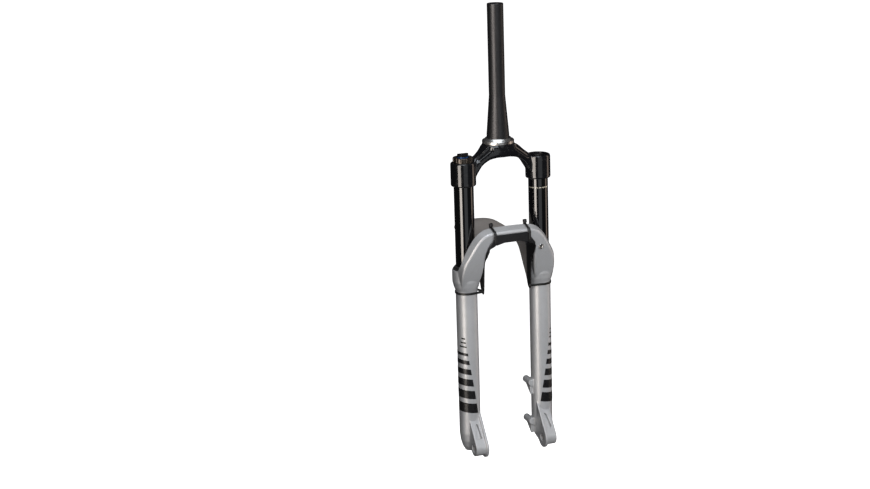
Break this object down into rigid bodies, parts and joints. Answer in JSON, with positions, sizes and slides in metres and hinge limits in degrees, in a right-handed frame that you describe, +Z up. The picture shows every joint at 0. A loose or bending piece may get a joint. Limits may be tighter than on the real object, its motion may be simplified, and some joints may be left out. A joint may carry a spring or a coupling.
{
  "type": "suspension fork",
  "caption": "Air-sprung bicycle suspension fork: tapered steerer, forged crown, sliding lower legs with arch, thru-axle dropouts, disc brake posts and mudguard.",
  "frame": {"origin": "middle of the thru-axle, halfway between the dropouts' inner faces", "axes": "+Z up along the steerer, -Y forward, +X to the rider's left"},
  "size_m": [0.19, 0.1908, 0.8048],
  "materials": {
    "steerer_black": "satin",
    "crown_black": "gloss",
    "stanchion_black": "gloss",
    "bare_steel": "machined",
    "cap_bronze": "satin",
    "cap_black": "satin",
    "ring_blue": "satin",
    "knob_red": "satin",
    "steel": "satin",
    "brass": "satin",
    "bare_aluminium": "satin",
    "cast_silver": "satin",
    "wiper_rubber": "matte",
    "seal_rubber": "matte",
    "bushing": "satin",
    "foam": "matte",
    "plastic_black": "satin",
    "guard_plastic": "satin",
    "token_plastic": "satin",
    "glide_white": "matte"
  },
  "bodies": {
    "upper_assembly": {"steerer_tube": "steerer_black", "crown_race": "bare_steel", "crown": "crown_black", "stanchion_right": "stanchion_black", "stanchion_left": "stanchion_black", "damper_top_cap": "cap_bronze", "cartridge_tube": "bare_aluminium", "cartridge_seal_head": "bare_aluminium", "compression_valve": "bare_aluminium", "bladder": "seal_rubber", "air_top_cap": "cap_black", "air_valve": "steel", "valve_core": "brass", "volume_tokens": "token_plastic", "air_seal_head": "bare_aluminium", "top_out_bumper": "seal_rubber"},
    "lowers": {"lower_legs": "cast_silver", "hose_guide_insert": "bare_aluminium", "mudguard": "guard_plastic", "arch_tie_right": "plastic_black", "arch_tie_left": "plastic_black", "leg_tie_right": "plastic_black", "leg_tie_left": "plastic_black", "upper_bushings": "bushing", "lower_bushings": "bushing", "foam_rings": "foam", "dust_wipers": "wiper_rubber", "wiper_springs": "steel", "crush_washers": "bare_aluminium", "foot_bolt_damper": "steel", "foot_bolt_air": "steel", "damper_shaft": "bare_aluminium", "rebound_piston": "bare_aluminium", "glide_ring": "glide_white", "air_shaft": "bare_aluminium", "air_piston": "bare_aluminium", "piston_seal": "seal_rubber", "bottom_out_bumper": "seal_rubber"},
    "compression_adjuster": {"compression_knob": "cap_black", "knob_ring": "ring_blue", "knob_screw": "steel", "compression_spindle": "steel"},
    "rebound_adjuster": {"rebound_knob": "knob_red", "rebound_rod": "steel"},
    "valve_cap": {"valve_cap": "plastic_black"},
    "valve_pin": {"valve_pin": "steel"}
  },
  "joints": [
    {"name": "fork_travel", "type": "slide", "parent": "upper_assembly", "child": "lowers", "axis": [0, 0, 1], "range_m": [0, 0.14], "stiffness_N_per_m": 8000, "springref_m": -0.008},
    {"name": "compression_turn", "type": "hinge", "parent": "upper_assembly", "child": "compression_adjuster", "pos_m": [-0.0705, 0.0345, 0.526], "axis": [0, 0, -1], "range_deg": [0, 90]},
    {"name": "rebound_turn", "type": "hinge", "parent": "lowers", "child": "rebound_adjuster", "pos_m": [-0.0705, 0.0345, -0.004], "axis": [0, 0, 1], "range_deg": [-180, 180]},
    {"name": "valve_cap_turn", "type": "hinge", "parent": "upper_assembly", "child": "valve_cap", "pos_m": [0.0705, 0.0345, 0.511], "axis": [0, 0, 1], "range_deg": [0, 720]},
    {"name": "valve_pin_push", "type": "slide", "parent": "upper_assembly", "child": "valve_pin", "axis": [0, 0, -1], "range_m": [0, 0.0015], "stiffness_N_per_m": 400, "springref_m": -0.002}
  ]
}
